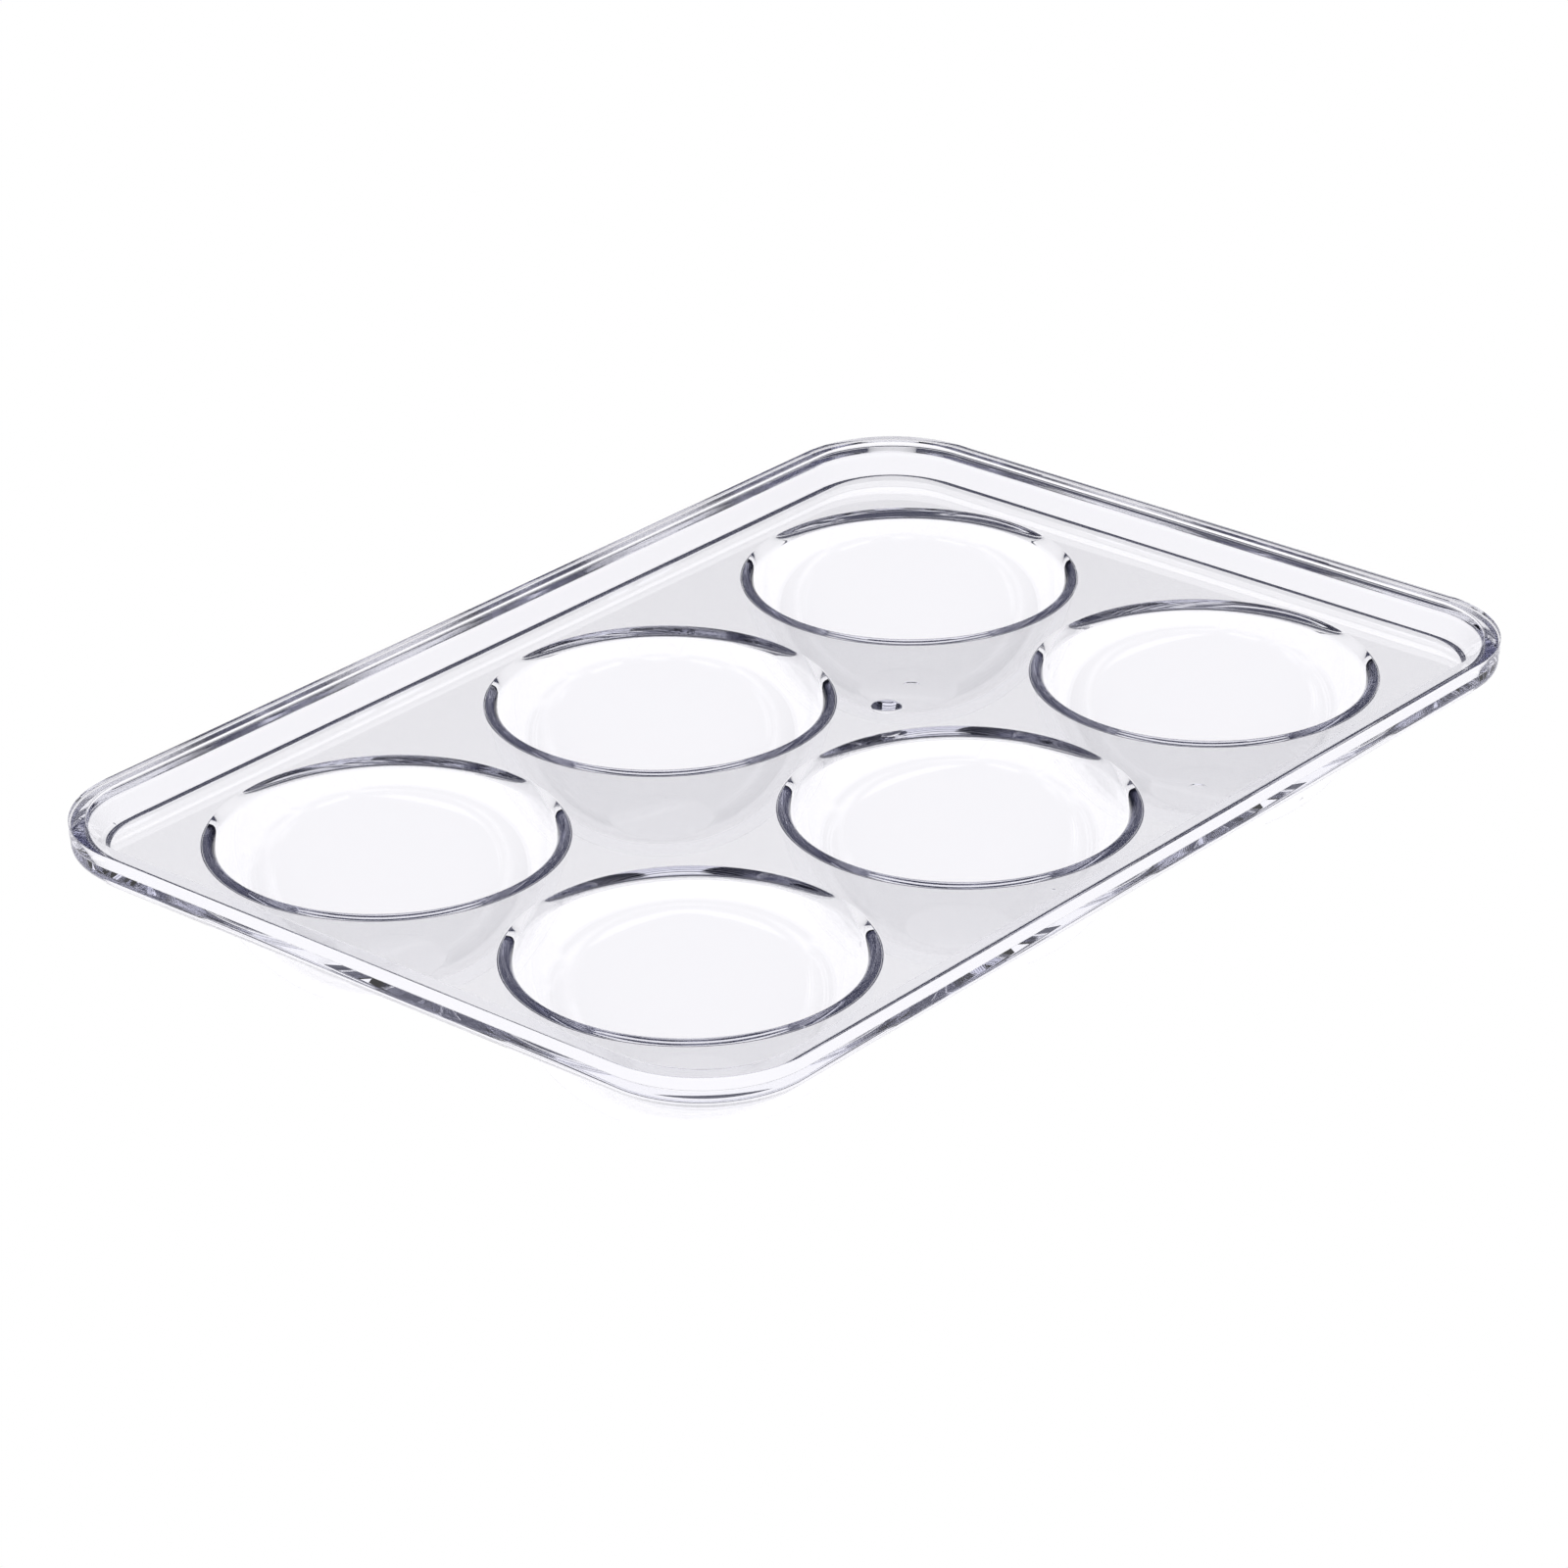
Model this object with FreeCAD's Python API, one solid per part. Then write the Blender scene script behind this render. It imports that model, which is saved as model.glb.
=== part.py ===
import FreeCAD, Part
import math
import os

# A clear tray that holds six eggs in two rows of three round cups.
# Millimetres, +Z up, +X along the tray's length. The origin is under the tray's centre,
# on the plane that the cup feet stand on.
# The real tray is one moulding. Each region of it is a solid of its own here, and
# neighbouring regions meet face to face on upright seams, without overlap.

# ---- driving dimensions: egg and cup -----------------------------------------------------
EGG_DIAMETER = 45.0          # largest egg that a cup is meant for, across its waist
EGG_CLEARANCE = 2.25         # air between that egg and the bowl, all round
CUP_WALL = 1.9               # wall and floor of the bowl
BOWL_CENTRE_RISE = 1.3       # the bowl's centre above the deck's top face
MOUTH_ROUNDING = 1.5         # deck's top face rolling over into the bowl
UNDERSIDE_ROUNDING = 0.5     # deck's bottom face running down into the bowl's outside
FOOT_RADIUS = 8.5            # flat disc that the bowl stands on
FOOT_EDGE_ROUNDING = 0.5     # edge of that disc
FLOOR_EDGE_ROUNDING = 4.0    # inside of the bowl running into its flat floor
CUP_SEAM_ALLOWANCE = 0.8     # flat ring of deck that belongs to each cup's solid

# ---- driving dimensions: layout ----------------------------------------------------------
COLUMNS = ("left", "middle", "right")     # along +X
ROWS = ("front", "back")                  # along +Y
WEB_LENGTHWISE = 6.21        # flat deck between two cups along X
WEB_CROSSWISE = 4.06         # flat deck between two cups along Y
MARGIN_LENGTHWISE = 4.82     # flat deck from the last cup to the rim's slope along X
MARGIN_CROSSWISE = 4.58      # flat deck from the last cup to the rim's slope along Y
DECK_THICKNESS = 1.85

# ---- driving dimensions: rim -------------------------------------------------------------
RIM_RISE = 4.65              # top of the rim above the deck's top face
INNER_SLOPE_RUN = 3.25       # how far the rim's inner face leans out on the way up
LIP_WIDTH = 2.5              # flat top of the rim
LIP_DEPTH = 0.4              # upright face between the inner slope and the flat top
BAND_HEIGHT = 2.0            # upright band round the outside of the lip
BAND_STEP = 0.4              # step inwards under that band
BEAD_INSET = 0.05            # bulge below the step, in from the upright band
BEAD_LEVEL = 0.75            # that bulge above the deck's top face
HEEL_INSET = 2.7             # rim's underside meeting the deck's bottom face, in from the band
DECK_CORNER_RADIUS = 12.25   # plan radius of the corner where deck and slope meet
SLOPE_FOOT_ROUNDING = 0.4    # inside corner between deck and slope
LIP_EDGE_ROUNDING = 0.1      # edges of the lip and the band's lower edge
STEP_ROUNDING = 0.05         # inside corner of the step
BEAD_ROUNDING = 1.5
HEEL_ROUNDING = 2.2          # rim's underside running into the deck's bottom face
RIM_SEAM_ALLOWANCE = 0.2     # flat strip of deck that belongs to the rim's solid

# ---- driving dimensions: moulding marks in the deck's top face ---------------------------
GATE_RADIUS = 2.5            # sunk dish where the plastic was fed in
GATE_DEPTH = 0.9
GATE_OFFSET = -11.3          # along X from the middle of the four cups round it
PIN_RADIUS = 1.8             # shallow print of an ejector pin
PIN_DEPTH = 0.1
INNER_PIN_OFFSET = (-3.5, 1.5)   # from the middle of the same four cups
OUTER_PIN_OFFSET = -4.7          # along X from there
OUTER_PIN_INSET = 7.2            # from the front edge of the flat deck

# ---- worked out: the cup, with the deck's top face at height 0 ----------------------------
BOWL_INNER_RADIUS = EGG_DIAMETER / 2 + EGG_CLEARANCE
BOWL_OUTER_RADIUS = BOWL_INNER_RADIUS + CUP_WALL


def reach(radius, drop):
    """Distance from a ball's axis to its surface, drop below its centre."""
    return math.sqrt(radius ** 2 - drop ** 2)


FOOT_LEVEL = BOWL_CENTRE_RISE - reach(BOWL_OUTER_RADIUS, FOOT_RADIUS)
FLOOR_LEVEL = FOOT_LEVEL + CUP_WALL
MOUTH_TOP_RADIUS = reach(BOWL_INNER_RADIUS + MOUTH_ROUNDING, BOWL_CENTRE_RISE + MOUTH_ROUNDING)
UNDERSIDE_TOP_RADIUS = reach(BOWL_OUTER_RADIUS + UNDERSIDE_ROUNDING,
                             BOWL_CENTRE_RISE + DECK_THICKNESS + UNDERSIDE_ROUNDING)
COLLAR_RADIUS = max(MOUTH_TOP_RADIUS, UNDERSIDE_TOP_RADIUS)
CUP_SEAM_RADIUS = COLLAR_RADIUS + CUP_SEAM_ALLOWANCE

# ---- worked out: the plan ----------------------------------------------------------------
PITCH_X = 2 * COLLAR_RADIUS + WEB_LENGTHWISE
PITCH_Y = 2 * COLLAR_RADIUS + WEB_CROSSWISE
DECK_HALF_X = (len(COLUMNS) - 1) * PITCH_X / 2 + COLLAR_RADIUS + MARGIN_LENGTHWISE
DECK_HALF_Y = (len(ROWS) - 1) * PITCH_Y / 2 + COLLAR_RADIUS + MARGIN_CROSSWISE
RIM_WIDTH = INNER_SLOPE_RUN + LIP_WIDTH
RIM_SEAM_INSET = SLOPE_FOOT_ROUNDING + RIM_SEAM_ALLOWANCE
FOUR_CUP_MIDDLE_X = PITCH_X / 2
DECK_TOP = -FOOT_LEVEL       # height of the deck's top face above the ground


def bowl_middle(radius, from_reach, to_reach):
    """Point half way along a bowl's arc between two distances from its axis."""
    angles = [math.asin(distance / radius) for distance in (from_reach, to_reach)]
    half_way = sum(angles) / 2
    return FreeCAD.Vector(radius * math.sin(half_way), 0,
                          BOWL_CENTRE_RISE - radius * math.cos(half_way))


def edges_at(shape, radius, height):
    """The round edges of a turned shape that have one radius and one height."""
    return [edge for edge in shape.Edges
            if isinstance(edge.Curve, Part.Circle)
            and abs(edge.Curve.Radius - radius) < 1e-4
            and abs(edge.Curve.Center.z - height) < 1e-4
            and abs(edge.Curve.Axis.z) > 0.5]


def make_cup():
    """One bowl with its collar of deck, on the Z axis."""
    mouth = reach(BOWL_INNER_RADIUS, BOWL_CENTRE_RISE)
    floor = reach(BOWL_INNER_RADIUS, BOWL_CENTRE_RISE - FLOOR_LEVEL)
    shoulder = reach(BOWL_OUTER_RADIUS, BOWL_CENTRE_RISE + DECK_THICKNESS)

    def at(distance, height):
        return FreeCAD.Vector(distance, 0, height)

    profile = Part.Wire([
        Part.makeLine(at(CUP_SEAM_RADIUS, 0), at(mouth, 0)),
        Part.Arc(at(mouth, 0), bowl_middle(BOWL_INNER_RADIUS, mouth, floor),
                 at(floor, FLOOR_LEVEL)).toShape(),
        Part.makeLine(at(floor, FLOOR_LEVEL), at(0, FLOOR_LEVEL)),
        Part.makeLine(at(0, FLOOR_LEVEL), at(0, FOOT_LEVEL)),
        Part.makeLine(at(0, FOOT_LEVEL), at(FOOT_RADIUS, FOOT_LEVEL)),
        Part.Arc(at(FOOT_RADIUS, FOOT_LEVEL), bowl_middle(BOWL_OUTER_RADIUS, FOOT_RADIUS, shoulder),
                 at(shoulder, -DECK_THICKNESS)).toShape(),
        Part.makeLine(at(shoulder, -DECK_THICKNESS), at(CUP_SEAM_RADIUS, -DECK_THICKNESS)),
        Part.makeLine(at(CUP_SEAM_RADIUS, -DECK_THICKNESS), at(CUP_SEAM_RADIUS, 0)),
    ])
    cup = Part.Face(profile).revolve(FreeCAD.Vector(0, 0, 0), FreeCAD.Vector(0, 0, 1), 360)
    for rounding, radius, height in (
            (MOUTH_ROUNDING, mouth, 0),
            (UNDERSIDE_ROUNDING, shoulder, -DECK_THICKNESS),
            (FLOOR_EDGE_ROUNDING, floor, FLOOR_LEVEL),
            (FOOT_EDGE_ROUNDING, FOOT_RADIUS, FOOT_LEVEL)):
        cup = cup.makeFillet(rounding, edges_at(cup, radius, height))
    return cup


def cup_places():
    """Name and plan centre of every cup."""
    for row, row_name in enumerate(ROWS):
        for column, column_name in enumerate(COLUMNS):
            x = (column - (len(COLUMNS) - 1) / 2) * PITCH_X
            y = (row - (len(ROWS) - 1) / 2) * PITCH_Y
            yield f"cup_{row_name}_{column_name}", x, y


def make_deck_plate():
    """Flat plate between the cups, out to the rim's seam."""
    half_x = DECK_HALF_X - RIM_SEAM_INSET
    half_y = DECK_HALF_Y - RIM_SEAM_INSET
    plate = Part.makeBox(2 * half_x, 2 * half_y, DECK_THICKNESS,
                         FreeCAD.Vector(-half_x, -half_y, -DECK_THICKNESS))
    upright = [edge for edge in plate.Edges if abs(edge.tangentAt(edge.FirstParameter).z) > 0.5]
    plate = plate.makeFillet(DECK_CORNER_RADIUS - RIM_SEAM_INSET, upright)
    below = -DECK_THICKNESS
    holes = [Part.makeCylinder(CUP_SEAM_RADIUS, DECK_THICKNESS, FreeCAD.Vector(x, y, below))
             for _, x, y in cup_places()]
    return plate.cut(holes + make_moulding_marks())


def make_moulding_marks():
    """What the gate and the ejector pins take out of the deck's top face."""
    dish_radius = (GATE_RADIUS ** 2 + GATE_DEPTH ** 2) / (2 * GATE_DEPTH)
    gate = Part.makeSphere(dish_radius, FreeCAD.Vector(FOUR_CUP_MIDDLE_X + GATE_OFFSET, 0,
                                                       dish_radius - GATE_DEPTH))
    inner_x, inner_y = INNER_PIN_OFFSET
    pins = [(FOUR_CUP_MIDDLE_X + inner_x, inner_y),
            (FOUR_CUP_MIDDLE_X + OUTER_PIN_OFFSET, OUTER_PIN_INSET - DECK_HALF_Y)]
    return [gate] + [Part.makeCylinder(PIN_RADIUS, PIN_DEPTH, FreeCAD.Vector(x, y, -PIN_DEPTH))
                     for x, y in pins]


def make_rim_section():
    """Face across the rim in the XZ plane, with x = 0 where the deck meets the slope."""
    band_foot = RIM_RISE - BAND_HEIGHT
    corners = [
        (-RIM_SEAM_INSET, -DECK_THICKNESS, 0),
        (-RIM_SEAM_INSET, 0, 0),
        (0, 0, SLOPE_FOOT_ROUNDING),
        (INNER_SLOPE_RUN, RIM_RISE - LIP_DEPTH, LIP_EDGE_ROUNDING),
        (INNER_SLOPE_RUN, RIM_RISE, LIP_EDGE_ROUNDING),
        (RIM_WIDTH, RIM_RISE, LIP_EDGE_ROUNDING),
        (RIM_WIDTH, band_foot, LIP_EDGE_ROUNDING),
        (RIM_WIDTH - BAND_STEP, band_foot, STEP_ROUNDING),
        (RIM_WIDTH - BEAD_INSET, BEAD_LEVEL, BEAD_ROUNDING),
        (RIM_WIDTH - HEEL_INSET, -DECK_THICKNESS, HEEL_ROUNDING),
    ]
    edges = []
    pieces = [rounded_corner(corners[i - 1], corners[i], corners[(i + 1) % len(corners)])
              for i in range(len(corners))]
    for i, (_, end, arc) in enumerate(pieces):
        if arc:
            edges.append(arc)
        edges.append(Part.makeLine(end, pieces[(i + 1) % len(pieces)][0]))
    return Part.Face(Part.Wire(edges))


def rounded_corner(before, here, after):
    """Start, end and tangent arc of one corner of a section, given as (x, z, rounding)."""
    corner = FreeCAD.Vector(here[0], 0, here[1])
    rounding = here[2]
    if not rounding:
        return corner, corner, None
    back = (FreeCAD.Vector(before[0], 0, before[1]) - corner).normalize()
    ahead = (FreeCAD.Vector(after[0], 0, after[1]) - corner).normalize()
    half_angle = back.getAngle(ahead) / 2
    setback = rounding / math.tan(half_angle)
    to_arc = rounding / math.sin(half_angle) - rounding
    start, end = corner + back * setback, corner + ahead * setback
    middle = corner + (back + ahead).normalize() * to_arc
    return start, end, Part.Arc(start, middle, end).toShape()


def make_rim():
    """Sloping wall with a thick lip, right round the deck: four sides and four corners."""
    section = make_rim_section()
    up = FreeCAD.Vector(0, 0, 1)
    straight_x = DECK_HALF_X - DECK_CORNER_RADIUS
    straight_y = DECK_HALF_Y - DECK_CORNER_RADIUS
    pieces = []
    for quarter in range(4):
        # Each quarter is a side followed by the corner that ends it, turned into place.
        sideways = quarter % 2
        deck_half = DECK_HALF_Y if sideways else DECK_HALF_X
        side_half = straight_x if sideways else straight_y
        start = section.translated(FreeCAD.Vector(deck_half, -side_half, 0))
        side = start.extrude(FreeCAD.Vector(0, 2 * side_half, 0))
        end = section.translated(FreeCAD.Vector(deck_half, side_half, 0))
        corner_axis = FreeCAD.Vector(deck_half - DECK_CORNER_RADIUS, side_half, 0)
        corner = end.revolve(corner_axis, up, 90)
        for piece in (side, corner):
            piece.rotate(FreeCAD.Vector(0, 0, 0), up, 90 * quarter)
            pieces.append(piece)
    return pieces[0].fuse(pieces[1:]).removeSplitter()


def export(name, shape):
    """Lift a shape from the deck's level to the ground's and write it as one solid."""
    solid = shape.Solids[0]
    if len(shape.Solids) != 1 or not solid.isValid():
        raise ValueError(f"{name} is not one valid solid")
    solid.translate(FreeCAD.Vector(0, 0, DECK_TOP))
    solid.exportStep(f"parts/{name}.step")
    print(f"{name}: {solid.Volume / 1000:.3f} cm3")


def main():
    os.makedirs("parts", exist_ok=True)
    export("deck_plate", make_deck_plate())
    export("rim", make_rim())
    cup = make_cup()
    for name, x, y in cup_places():
        export(name, cup.translated(FreeCAD.Vector(x, y, 0)))
    print(f"tray {2 * (DECK_HALF_X + RIM_WIDTH):.2f} x {2 * (DECK_HALF_Y + RIM_WIDTH):.2f}"
          f" x {DECK_TOP + RIM_RISE:.2f}, cups {PITCH_X:.2f} by {PITCH_Y:.2f} apart")


main()
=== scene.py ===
import math

import bpy
from mathutils import Matrix, Vector
from mathutils.geometry import delaunay_2d_cdt

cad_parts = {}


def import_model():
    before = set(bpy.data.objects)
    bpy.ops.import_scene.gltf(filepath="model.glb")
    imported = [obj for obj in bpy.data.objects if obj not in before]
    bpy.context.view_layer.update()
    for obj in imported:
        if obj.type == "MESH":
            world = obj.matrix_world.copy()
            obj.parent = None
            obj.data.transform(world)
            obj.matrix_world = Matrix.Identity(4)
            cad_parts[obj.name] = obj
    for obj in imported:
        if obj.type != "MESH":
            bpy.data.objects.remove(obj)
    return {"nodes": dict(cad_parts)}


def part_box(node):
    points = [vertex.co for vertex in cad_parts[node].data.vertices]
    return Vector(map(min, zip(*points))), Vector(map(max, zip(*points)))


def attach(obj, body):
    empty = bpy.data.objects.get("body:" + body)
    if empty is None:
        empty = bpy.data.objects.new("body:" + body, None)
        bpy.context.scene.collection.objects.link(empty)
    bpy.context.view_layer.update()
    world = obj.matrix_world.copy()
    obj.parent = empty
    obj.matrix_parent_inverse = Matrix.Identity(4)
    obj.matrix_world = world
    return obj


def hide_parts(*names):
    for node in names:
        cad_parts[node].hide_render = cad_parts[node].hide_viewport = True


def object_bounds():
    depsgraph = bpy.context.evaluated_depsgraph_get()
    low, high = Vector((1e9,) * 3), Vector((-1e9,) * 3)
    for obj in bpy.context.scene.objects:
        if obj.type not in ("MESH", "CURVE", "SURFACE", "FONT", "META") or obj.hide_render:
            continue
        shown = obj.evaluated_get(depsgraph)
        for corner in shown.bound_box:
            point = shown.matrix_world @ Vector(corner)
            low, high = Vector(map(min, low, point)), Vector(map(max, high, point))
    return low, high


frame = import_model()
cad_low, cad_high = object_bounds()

MM = 0.001

# ---- sizes of the moulding, as in the CAD model -------------------------------------------
CUP_WALL = 1.9 * MM
BOWL_INNER_RADIUS = 24.75 * MM
BOWL_OUTER_RADIUS = BOWL_INNER_RADIUS + CUP_WALL
BOWL_CENTRE_RISE = 1.3 * MM
MOUTH_ROUNDING = 1.5 * MM
UNDERSIDE_ROUNDING = 0.5 * MM
FOOT_EDGE_ROUNDING = 0.5 * MM
FLOOR_EDGE_ROUNDING = 4.0 * MM
INNER_SLOPE_RUN = 3.25 * MM
LIP_WIDTH = 2.5 * MM
LIP_DEPTH = 0.4 * MM
BAND_HEIGHT = 2.0 * MM
BAND_STEP = 0.4 * MM
STEP_ROUNDING = 0.05 * MM
BEAD_INSET = 0.05 * MM
BEAD_LEVEL = 0.75 * MM
BEAD_ROUNDING = 1.5 * MM
HEEL_INSET = 2.7 * MM
HEEL_ROUNDING = 2.2 * MM
RIM_WIDTH = INNER_SLOPE_RUN + LIP_WIDTH
DECK_CORNER_RADIUS = 12.25 * MM
DECK_STRIP = 1.0 * MM
SLOPE_FOOT_ROUNDING = 0.4 * MM
LIP_EDGE_ROUNDING = 0.1 * MM
EDGE_MARGIN = 0.08 * MM       # painted dark reflection along a sharp edge reaches this far past its bend
GATE_RADIUS = 2.5 * MM
GATE_DEPTH = 0.9 * MM
PIN_RADIUS = 1.8 * MM
PIN_DEPTH = 0.1 * MM
GATE_PLACE = (18.7 * MM, 0)
PIN_PLACES = ((26.5 * MM, 1.5 * MM), (25.3 * MM, -53.2 * MM))
MARK_SURROUND = 0.1 * MM     # ring of flat deck round a mark
PIN_FLOOR_INSET = 0.3 * MM   # last ring on a pin print's floor, in from its edge

# ---- where things are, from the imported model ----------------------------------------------
CUPS = sorted(name for name in frame["nodes"] if name.startswith("cup_"))
DECK_BOTTOM, DECK_TOP = (corner.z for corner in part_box("deck_plate"))
TRAY_TOP = cad_high.z
DECK_HALF_X = cad_high.x - RIM_WIDTH
DECK_HALF_Y = cad_high.y - RIM_WIDTH
BOWL_CENTRE = DECK_TOP + BOWL_CENTRE_RISE
FLOOR = CUP_WALL
FOOT = 0.0

# ---- look ---------------------------------------------------------------------------------
WHITE = (1, 1, 1, 1)
STYRENE_IOR = 1.57
# painted dark reflection on the sharp lip edges, standing in for the dark surroundings those edges
# reflect
PAINTED_EDGE_REFLECTION_COLOUR = (0.01, 0.01, 0.02, 1)
ABSORPTION_COLOUR = (0.55, 0.56, 0.80, 1)
ABSORPTION_DENSITY = 6.0     # per metre
WAVE_SCALE = 45              # gentle unevenness of the surfaces
WAVE_STRENGTH = 0.02
WAVE_HEIGHT = 0.4 * MM
SPECK_SCALE = 70             # small pimples left by the mould
SPECK_CORE = 0.016           # a speck's flat top and its foot, as parts of a cell
SPECK_EDGE = 0.026
SPECK_STRENGTH = 0.6
SPECK_HEIGHT = 0.1 * MM
FLOOR_HALF_WIDTH = 6.0
FLOOR_THROUGH_PLASTIC = (1.03, 1.022, 1.055, 1)
DARK_STUDIO = (0.055, 0.057, 0.09, 1)

# ---- camera -------------------------------------------------------------------------------
EYE = (-588.15, -492.03, 389.63)     # millimetres, as is the target
TARGET = (-11.33, -5.03, 23.81)
ROLL = math.radians(-0.44)
FOCAL_LENGTH = 131.42
LIGHT_BOUNCES = 40

# ---- fineness of the mesh ----------------------------------------------------------------
AROUND_CUP = 144
AROUND_MARK = 40
CORNER_STEPS = 22
SMALL_ARC_STEPS = 8
BOWL_ARC_STEPS = 30


class Skin:
    """A closed surface put together from loops of points, each with its true normal."""

    def __init__(self):
        self.points, self.normals, self.faces = [], [], []
        self.sharp_edge = set()

    def loop(self, places):
        """Adds (point, normal) pairs and returns their numbers."""
        first = len(self.points)
        for point, normal in places:
            self.points.append(Vector(point))
            self.normals.append(Vector(normal).normalized())
        return list(range(first, len(self.points)))

    def strip(self, above, below):
        """Quads from one loop to the next, facing left of the way from above to below."""
        count = len(above)
        for i in range(count):
            j = (i + 1) % count
            self.faces.append((above[i], above[j], below[j], below[i]))

    def fan(self, loop, centre):
        count = len(loop)
        for i in range(count):
            self.faces.append((loop[i], loop[(i + 1) % count], centre))

    def plane(self, outline, holes, upward):
        """Flat face inside outline and outside every hole, on points that exist already."""
        numbers = list(outline)
        edges = []
        for loop in [outline] + holes:
            first = len(numbers) if loop is not outline else 0
            if loop is not outline:
                numbers += loop
            count = len(loop)
            edges += [(first + i, first + (i + 1) % count) for i in range(count)]
        flat = [self.points[n].xy for n in numbers]
        _, _, triangles, origins, _, _ = delaunay_2d_cdt(flat, edges, [], 0, 1e-9)
        hole_shapes = [[self.points[n].xy for n in hole] for hole in holes]
        outline_shape = [self.points[n].xy for n in outline]
        for triangle in triangles:
            corners = [numbers[origins[v][0]] for v in triangle]
            middle = sum((self.points[n].xy for n in corners), Vector((0, 0))) / 3
            if not is_inside(middle, outline_shape):
                continue
            if any(is_inside(middle, shape) for shape in hole_shapes):
                continue
            self.faces.append(tuple(corners if upward else reversed(corners)))

    def make(self, name):
        mesh = bpy.data.meshes.new(name)
        mesh.from_pydata(self.points, [], self.faces)
        mesh.polygons.foreach_set("use_smooth", [True] * len(self.faces))
        mesh.normals_split_custom_set_from_vertices(self.normals)
        # marks the points on sharp edges, where the material paints a dark reflection
        mask = mesh.attributes.new("sharp_edge", "FLOAT", "POINT")
        mask.data.foreach_set("value", [float(n in self.sharp_edge) for n in range(len(self.points))])
        piece = bpy.data.objects.new(name, mesh)
        bpy.context.scene.collection.objects.link(piece)
        return piece


def is_inside(point, shape):
    """Whether a plan point is inside a closed plan outline."""
    inside = False
    for a, b in zip(shape, shape[1:] + shape[:1]):
        if (a.y > point.y) != (b.y > point.y):
            if point.x < a.x + (point.y - a.y) / (b.y - a.y) * (b.x - a.x):
                inside = not inside
    return inside


def reach(radius, drop):
    """Distance from a ball's axis to its surface, drop below its centre."""
    return math.sqrt(radius ** 2 - drop ** 2)


def arc(centre_x, centre_z, radius, start, end, steps, hollow=False):
    """Section points (x, z, normal x, normal z) on an arc; a hollow one faces its centre."""
    side = -1 if hollow else 1
    result = []
    for i in range(steps + 1):
        angle = math.radians(start + (end - start) * i / steps)
        x, z = math.cos(angle), math.sin(angle)
        result.append((centre_x + radius * x, centre_z + radius * z, side * x, side * z))
    return result


def angle_of(x, z):
    return math.degrees(math.atan2(z, x))


def cup_top_section():
    """From the deck's top face, over the mouth and down the bowl's inside to its floor."""
    mouth_x = reach(BOWL_INNER_RADIUS + MOUTH_ROUNDING, BOWL_CENTRE_RISE + MOUTH_ROUNDING)
    mouth_z = DECK_TOP - MOUTH_ROUNDING
    floor_z = FLOOR + FLOOR_EDGE_ROUNDING
    floor_x = reach(BOWL_INNER_RADIUS - FLOOR_EDGE_ROUNDING, BOWL_CENTRE - floor_z)
    to_bowl = angle_of(-mouth_x, BOWL_CENTRE - mouth_z)
    upper = angle_of(mouth_x, mouth_z - BOWL_CENTRE)
    lower = angle_of(floor_x, floor_z - BOWL_CENTRE)
    return (arc(mouth_x, mouth_z, MOUTH_ROUNDING, 90, to_bowl, SMALL_ARC_STEPS)
            + arc(0, BOWL_CENTRE, BOWL_INNER_RADIUS, upper, lower, BOWL_ARC_STEPS, True)[1:]
            + arc(floor_x, floor_z, FLOOR_EDGE_ROUNDING, lower, -90, SMALL_ARC_STEPS // 2, True)[1:]
            + [(0, FLOOR, 0, 1)])


def cup_under_section():
    """From the deck's bottom face, down the bowl's outside to its foot."""
    under_z = DECK_BOTTOM - UNDERSIDE_ROUNDING
    under_x = reach(BOWL_OUTER_RADIUS + UNDERSIDE_ROUNDING, BOWL_CENTRE - under_z)
    foot_z = FOOT + FOOT_EDGE_ROUNDING
    foot_x = reach(BOWL_OUTER_RADIUS - FOOT_EDGE_ROUNDING, BOWL_CENTRE - foot_z)
    to_bowl = angle_of(-under_x, BOWL_CENTRE - under_z)
    upper = angle_of(under_x, under_z - BOWL_CENTRE)
    lower = angle_of(foot_x, foot_z - BOWL_CENTRE)
    return (arc(under_x, under_z, UNDERSIDE_ROUNDING, 90, to_bowl, SMALL_ARC_STEPS, True)
            + arc(0, BOWL_CENTRE, BOWL_OUTER_RADIUS, upper, lower, BOWL_ARC_STEPS)[1:]
            + arc(foot_x, foot_z, FOOT_EDGE_ROUNDING, lower, -90, SMALL_ARC_STEPS // 2)[1:]
            + [(0, FOOT, 0, -1)])


def turned(skin, section, centre_x, centre_y, steps, downward=False):
    """Turns a section about an upright axis. Returns its first loop; its last point is on the axis."""
    turns = [2 * math.pi * i / steps for i in range(steps)]
    loops = []
    for x, z, nx, nz in section[:-1]:
        loops.append(skin.loop([
            ((centre_x + x * math.cos(t), centre_y + x * math.sin(t), z),
             (nx * math.cos(t), nx * math.sin(t), nz)) for t in turns]))
    _, z, _, nz = section[-1]
    centre = skin.loop([((centre_x, centre_y, z), (0, 0, nz))])[0]
    for above, below in zip(loops, loops[1:]):
        if downward:
            skin.strip(below, above)
        else:
            skin.strip(above, below)
    skin.fan(loops[-1][::-1] if downward else loops[-1], centre)
    return loops[0]


def beside(point, distance):
    """The flat's own point, a distance along the section from where a bend starts or ends."""
    x, z, nx, nz, _ = point
    return (x + nz * distance, z - nx * distance, nx, nz, False)


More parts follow.
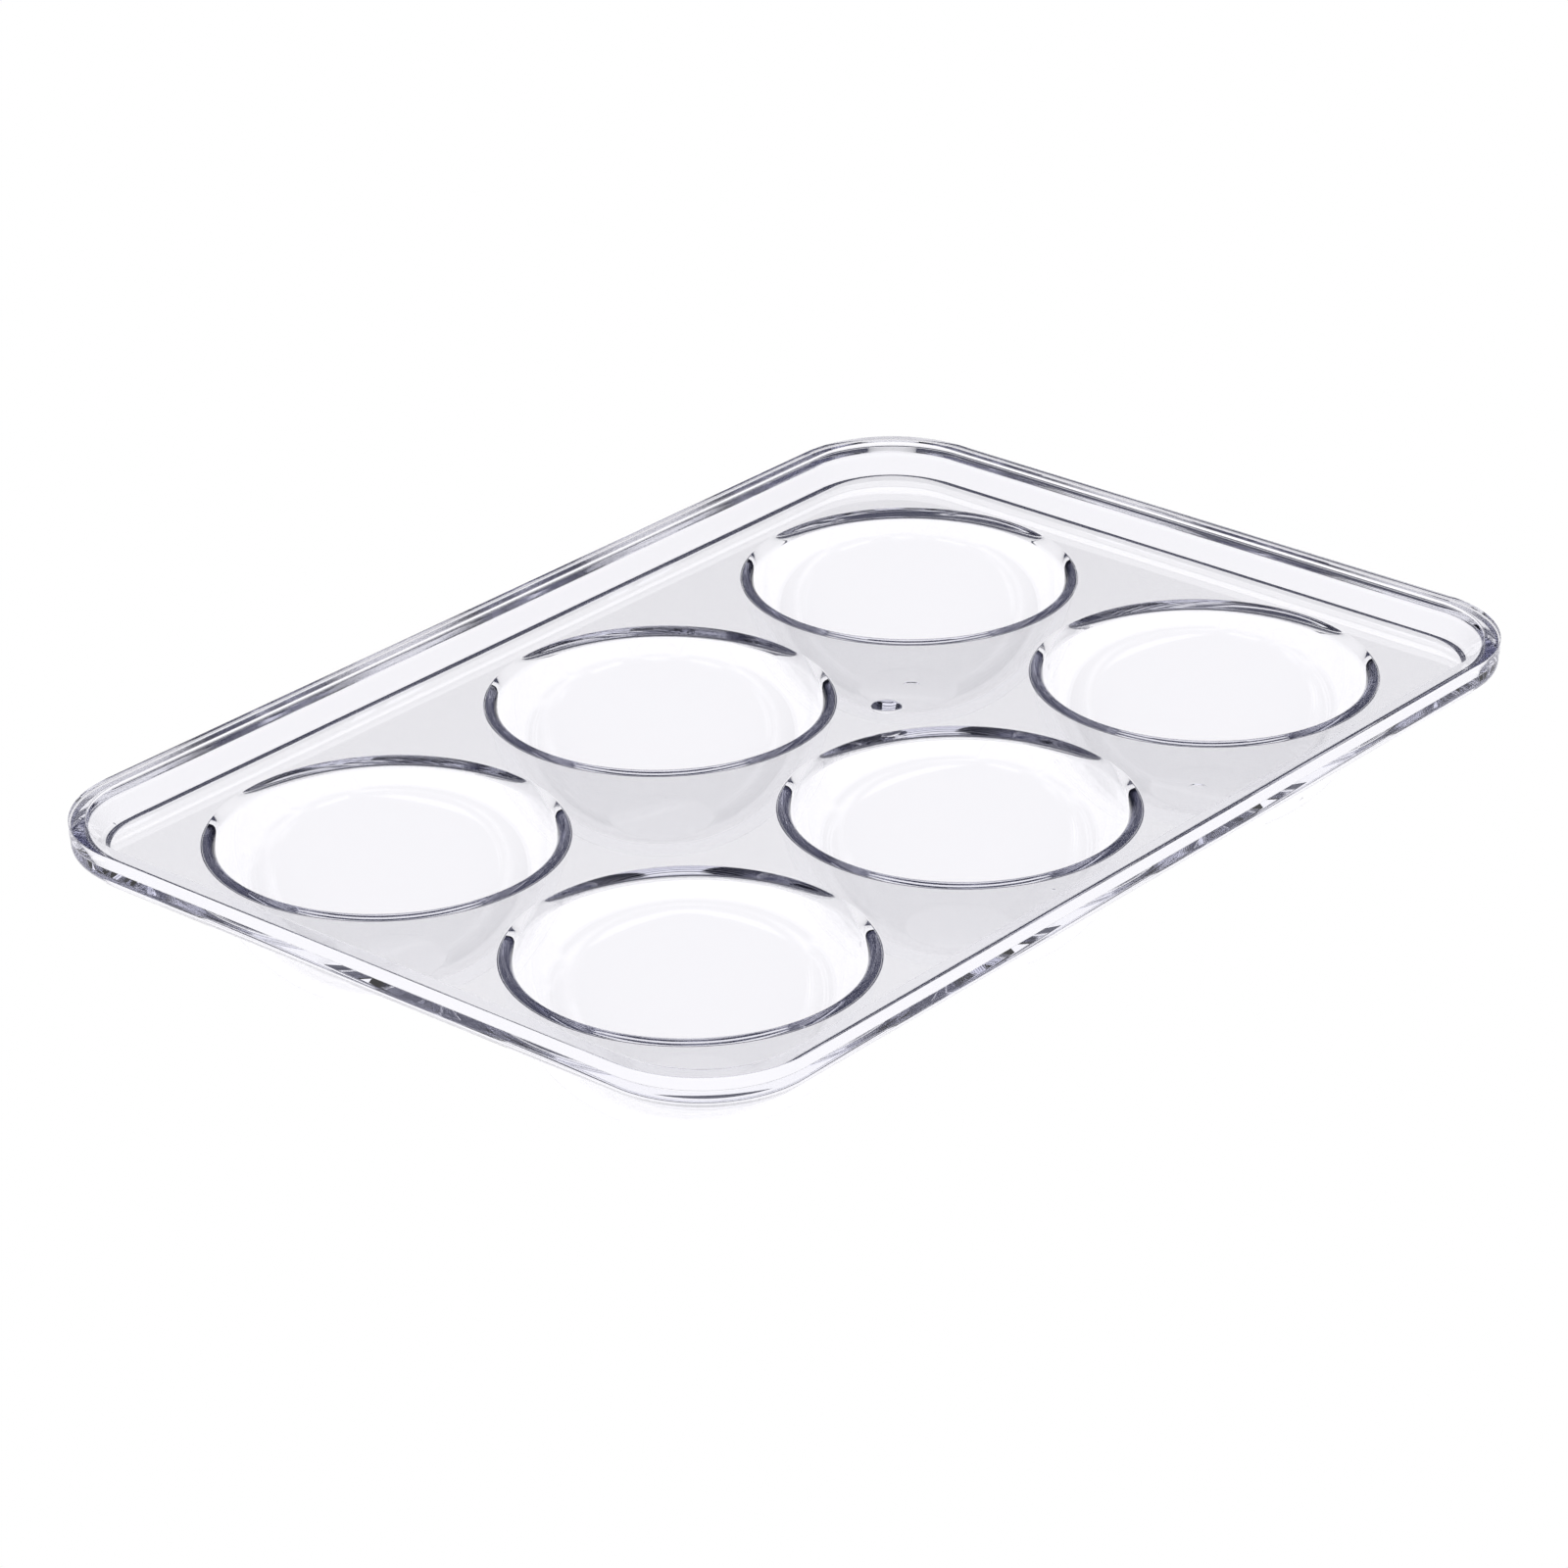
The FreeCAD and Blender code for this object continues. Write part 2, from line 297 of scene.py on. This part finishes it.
def rounded_section(corners):
    """Open section through (x, z, rounding) corners, with the solid to the right of the way.

    Points are (x, z, normal x, normal z, whether on a sharp edge).
    """
    result = []
    count = len(corners)
    for i, (x, z, rounding) in enumerate(corners):
        normals = []
        for a, b in ((i - 1, i), (i, i + 1)):
            if 0 <= a and b < count:
                along = Vector((corners[b][0] - corners[a][0], corners[b][1] - corners[a][1]))
                along.normalize()
                normals.append(Vector((-along.y, along.x)))
        if len(normals) == 1 or not rounding:
            result.append((x, z, normals[-1].x, normals[-1].y, False))
            continue
        first, second = normals
        side = 1 if first.cross(second) < 0 else -1
        centre = Vector((x, z)) - side * rounding * (first + second) / (1 + first.dot(second))
        start = angle_of(first.x, first.y)
        turn = math.degrees(math.asin(max(-1, min(1, first.cross(second)))))
        if first.dot(second) < 0:
            turn = math.copysign(180, turn) - turn
        sharp = rounding == LIP_EDGE_ROUNDING
        bend = []
        for step in range(SMALL_ARC_STEPS + 1):
            angle = math.radians(start + turn * step / SMALL_ARC_STEPS)
            n = Vector((math.cos(angle), math.sin(angle)))
            place = centre + side * rounding * n
            bend.append((place.x, place.y, n.x, n.y, sharp))
        if sharp:
            bend.insert(0, beside(bend[0], -EDGE_MARGIN))
            bend.append(beside(bend[-1], EDGE_MARGIN))
        result += bend
    return result


def rim_section():
    """Across the rim, from the deck's top face outwards and back under it; x from the deck's edge."""
    band_foot = TRAY_TOP - BAND_HEIGHT
    corners = [
        (-DECK_STRIP, DECK_TOP, 0),
        (0, DECK_TOP, SLOPE_FOOT_ROUNDING),
        (INNER_SLOPE_RUN, TRAY_TOP - LIP_DEPTH, LIP_EDGE_ROUNDING),
        (INNER_SLOPE_RUN, TRAY_TOP, LIP_EDGE_ROUNDING),
        (RIM_WIDTH, TRAY_TOP, LIP_EDGE_ROUNDING),
        (RIM_WIDTH, band_foot, LIP_EDGE_ROUNDING),
        (RIM_WIDTH - BAND_STEP, band_foot, STEP_ROUNDING),
        (RIM_WIDTH - BEAD_INSET, DECK_TOP + BEAD_LEVEL, BEAD_ROUNDING),
        (RIM_WIDTH - HEEL_INSET, DECK_BOTTOM, HEEL_ROUNDING),
        (-DECK_STRIP, DECK_BOTTOM, 0),
    ]
    return rounded_section(corners)


def rim(skin):
    """Sweeps the section round the deck. Returns the loops at the deck's top and bottom faces."""
    stations = []
    for quarter, (sx, sy) in enumerate(((1, 1), (-1, 1), (-1, -1), (1, -1))):
        centre = Vector((sx * (DECK_HALF_X - DECK_CORNER_RADIUS),
                         sy * (DECK_HALF_Y - DECK_CORNER_RADIUS)))
        for step in range(CORNER_STEPS + 1):
            angle = math.radians(90 * (quarter + step / CORNER_STEPS))
            stations.append((centre, Vector((math.cos(angle), math.sin(angle)))))
    loops = []
    for x, z, nx, nz, sharp in rim_section():
        places = []
        for centre, outward in stations:
            plan = centre + outward * (DECK_CORNER_RADIUS + x)
            places.append(((plan.x, plan.y, z), (outward.x * nx, outward.y * nx, nz)))
        loops.append(skin.loop(places))
        if sharp:
            skin.sharp_edge.update(loops[-1])
    for inner, outer in zip(loops, loops[1:]):
        skin.strip(outer, inner)
    return loops[0], loops[-1]


def gate_section():
    """Sunk dish where the plastic was fed in, part of a ball."""
    dish = (GATE_RADIUS ** 2 + GATE_DEPTH ** 2) / (2 * GATE_DEPTH)
    edge = angle_of(GATE_RADIUS, GATE_DEPTH - dish)
    return ([(GATE_RADIUS + MARK_SURROUND, DECK_TOP, 0, 1), (GATE_RADIUS, DECK_TOP, 0, 1)]
            + arc(0, DECK_TOP + dish - GATE_DEPTH, dish, edge, -90, SMALL_ARC_STEPS, True)[1:-1]
            + [(0, DECK_TOP - GATE_DEPTH, 0, 1)])


def pin_section():
    """Shallow round print; its wall leans in as much as it is deep."""
    floor = DECK_TOP - PIN_DEPTH
    return [(PIN_RADIUS + MARK_SURROUND, DECK_TOP, 0, 1), (PIN_RADIUS, DECK_TOP, 0, 1),
            (PIN_RADIUS - PIN_DEPTH, floor, 0, 1),
            (PIN_RADIUS - PIN_FLOOR_INSET, floor, 0, 1), (0, floor, 0, 1)]


def tray_moulding():
    """The whole tray as one closed surface."""
    skin = Skin()
    top_edge, bottom_edge = rim(skin)
    top_holes, bottom_holes = [], []
    for name in CUPS:
        low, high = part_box(name)
        x, y = (low.x + high.x) / 2, (low.y + high.y) / 2
        top_holes.append(turned(skin, cup_top_section(), x, y, AROUND_CUP))
        bottom_holes.append(turned(skin, cup_under_section(), x, y, AROUND_CUP, True))
    top_holes.append(turned(skin, gate_section(), *GATE_PLACE, AROUND_MARK))
    for x, y in PIN_PLACES:
        top_holes.append(turned(skin, pin_section(), x, y, AROUND_MARK))
    skin.plane(top_edge, top_holes, True)
    skin.plane(bottom_edge, bottom_holes, False)
    return skin.make("tray_moulding")


def clear_plastic():
    """Clear moulded plastic: gentle waves, a few specks, and a painted dark reflection on its sharp
    edges.
    """
    material = bpy.data.materials.new("clear_plastic")
    material.use_nodes = True
    nodes, links = material.node_tree.nodes, material.node_tree.links
    surface = nodes["Principled BSDF"]
    surface.inputs["Transmission Weight"].default_value = 1.0
    surface.inputs["Roughness"].default_value = 0.0
    surface.inputs["IOR"].default_value = STYRENE_IOR

    def node(kind, **settings):
        made = nodes.new("ShaderNode" + kind)
        for setting, value in settings.items():
            setattr(made, setting, value)
        return made

    # painted dark reflection: the base colour goes near black on the sharp-edge points
    sharp = node("Attribute", attribute_name="sharp_edge")
    painted_edge_reflection = node("Mix", data_type="RGBA")
    painted_edge_reflection.inputs["A"].default_value = WHITE
    painted_edge_reflection.inputs["B"].default_value = PAINTED_EDGE_REFLECTION_COLOUR
    links.new(sharp.outputs["Fac"], painted_edge_reflection.inputs["Factor"])
    links.new(painted_edge_reflection.outputs["Result"], surface.inputs["Base Color"])

    place = node("TexCoord").outputs["Object"]
    waves = node("TexNoise")
    waves.inputs["Scale"].default_value = WAVE_SCALE
    waves.inputs["Detail"].default_value = 1
    links.new(place, waves.inputs["Vector"])
    specks = node("TexVoronoi")
    specks.inputs["Scale"].default_value = SPECK_SCALE
    links.new(place, specks.inputs["Vector"])
    speck = node("MapRange")
    speck.inputs["From Min"].default_value = SPECK_CORE
    speck.inputs["From Max"].default_value = SPECK_EDGE
    speck.inputs["To Min"].default_value = 1.0
    speck.inputs["To Max"].default_value = 0.0
    links.new(specks.outputs["Distance"], speck.inputs["Value"])
    wave_bump = node("Bump")
    wave_bump.inputs["Strength"].default_value = WAVE_STRENGTH
    wave_bump.inputs["Distance"].default_value = WAVE_HEIGHT
    links.new(waves.outputs["Fac"], wave_bump.inputs["Height"])
    speck_bump = node("Bump")
    speck_bump.inputs["Strength"].default_value = SPECK_STRENGTH
    speck_bump.inputs["Distance"].default_value = SPECK_HEIGHT
    links.new(speck.outputs["Result"], speck_bump.inputs["Height"])
    links.new(wave_bump.outputs["Normal"], speck_bump.inputs["Normal"])
    links.new(speck_bump.outputs["Normal"], surface.inputs["Normal"])

    absorb = node("VolumeAbsorption")
    absorb.inputs["Color"].default_value = ABSORPTION_COLOUR
    absorb.inputs["Density"].default_value = ABSORPTION_DENSITY
    links.new(absorb.outputs["Volume"], nodes["Material Output"].inputs["Volume"])
    return material


def floor():
    """Lit white sheet: plain white to the camera, faintly blue as seen through the plastic."""
    mesh = bpy.data.meshes.new("floor")
    size = FLOOR_HALF_WIDTH
    mesh.from_pydata([(-size, -size, 0), (size, -size, 0), (size, size, 0), (-size, size, 0)],
                     [], [(0, 1, 2, 3)])
    piece = bpy.data.objects.new("floor", mesh)
    bpy.context.scene.collection.objects.link(piece)
    material = bpy.data.materials.new("floor_white")
    material.use_nodes = True
    nodes, links = material.node_tree.nodes, material.node_tree.links
    surface = nodes["Principled BSDF"]
    surface.inputs["Base Color"].default_value = (0, 0, 0, 1)
    surface.inputs["Specular IOR Level"].default_value = 0
    surface.inputs["Emission Strength"].default_value = 1.0
    path = nodes.new("ShaderNodeLightPath")
    mix = nodes.new("ShaderNodeMix")
    mix.data_type = "RGBA"
    mix.inputs["A"].default_value = FLOOR_THROUGH_PLASTIC
    mix.inputs["B"].default_value = WHITE
    links.new(path.outputs["Is Camera Ray"], mix.inputs["Factor"])
    links.new(mix.outputs["Result"], surface.inputs["Emission Color"])
    mesh.materials.append(material)


def world():
    """White behind the tray for the camera, dim all round for everything else."""
    sky = bpy.data.worlds.new("studio")
    bpy.context.scene.world = sky
    sky.use_nodes = True
    nodes, links = sky.node_tree.nodes, sky.node_tree.links
    path = nodes.new("ShaderNodeLightPath")
    mix = nodes.new("ShaderNodeMix")
    mix.data_type = "RGBA"
    mix.inputs["A"].default_value = DARK_STUDIO
    mix.inputs["B"].default_value = WHITE
    links.new(path.outputs["Is Camera Ray"], mix.inputs["Factor"])
    links.new(mix.outputs["Result"], nodes["Background"].inputs["Color"])


def camera():
    eye = Vector(EYE) * MM
    forward = (Vector(TARGET) * MM - eye).normalized()
    right = forward.cross(Vector((0, 0, 1))).normalized()
    up = right.cross(forward)
    turned_right = right * math.cos(ROLL) + up * math.sin(ROLL)
    turned_up = up * math.cos(ROLL) - right * math.sin(ROLL)
    lens = bpy.data.cameras.new("camera")
    lens.sensor_width = 36
    lens.lens = FOCAL_LENGTH
    lens.clip_start = 0.01
    view = bpy.data.objects.new("camera", lens)
    axes = Matrix((turned_right, turned_up, -forward)).transposed()
    view.matrix_world = Matrix.Translation(eye) @ axes.to_4x4()
    bpy.context.scene.collection.objects.link(view)
    bpy.context.scene.camera = view


tray = tray_moulding()
tray.data.materials.append(clear_plastic())
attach(tray, "root")
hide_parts(*sorted(frame["nodes"]))
floor()
world()
camera()
bpy.context.scene.view_settings.view_transform = "Standard"
cycles = bpy.context.scene.cycles
cycles.max_bounces = LIGHT_BOUNCES
cycles.transmission_bounces = LIGHT_BOUNCES
cycles.glossy_bounces = LIGHT_BOUNCES
